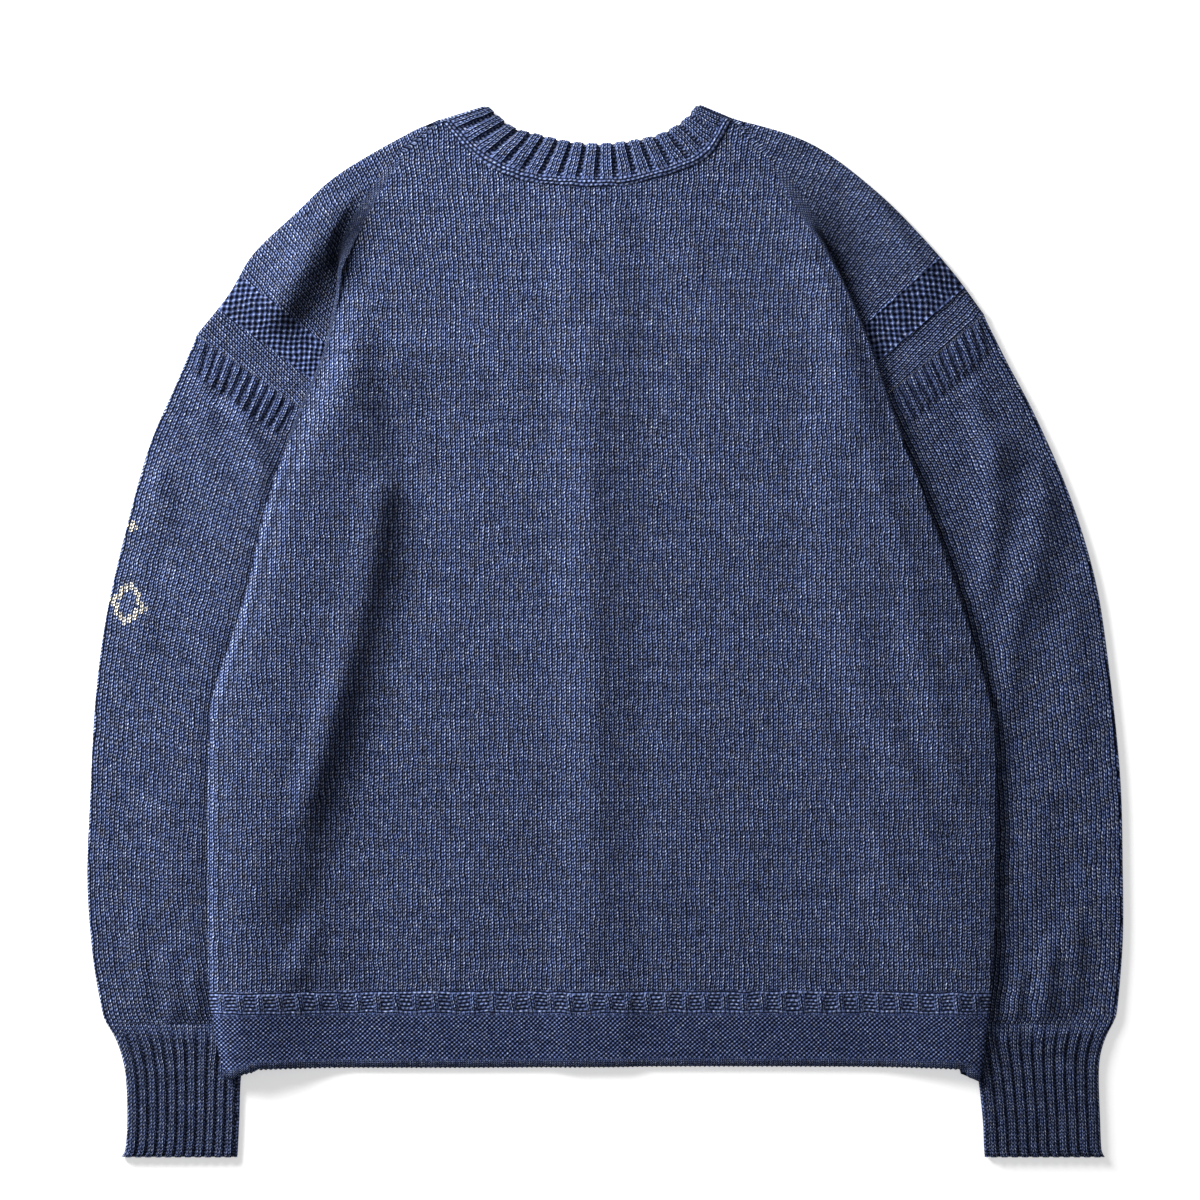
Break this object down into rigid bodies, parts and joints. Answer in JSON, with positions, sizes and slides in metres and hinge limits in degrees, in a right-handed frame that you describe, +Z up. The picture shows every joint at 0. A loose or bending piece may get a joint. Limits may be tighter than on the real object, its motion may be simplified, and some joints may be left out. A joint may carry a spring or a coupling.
{
  "type": "fisherman cardigan laid flat",
  "caption": "Blue knitted fisherman cardigan laid flat with its back up, sleeves folded down beside and under the body.",
  "frame": {"origin": "centre of the bounding box, on the surface that the garment lies on", "axes": "+X to the right of somebody looking down on the back, +Y from the hem to the collar, +Z up from the surface"},
  "size_m": [0.7762, 0.7883, 0.0139],
  "materials": {
    "blue_wool": "matte",
    "button_horn": "satin"
  },
  "bodies": {
    "root": {"back": "blue_wool", "back_welt": "blue_wool", "front_left": "blue_wool", "front_right": "blue_wool", "front_welt_left": "blue_wool", "front_welt_right": "blue_wool", "sleeve_left": "blue_wool", "sleeve_right": "blue_wool", "cuff_left": "blue_wool", "cuff_right": "blue_wool", "neckband": "blue_wool", "button_band_left": "blue_wool", "button_band_right": "blue_wool", "button_1": "button_horn", "button_2": "button_horn", "button_3": "button_horn", "button_4": "button_horn", "button_5": "button_horn", "button_6": "button_horn", "button_7": "button_horn"}
  },
  "joints": []
}
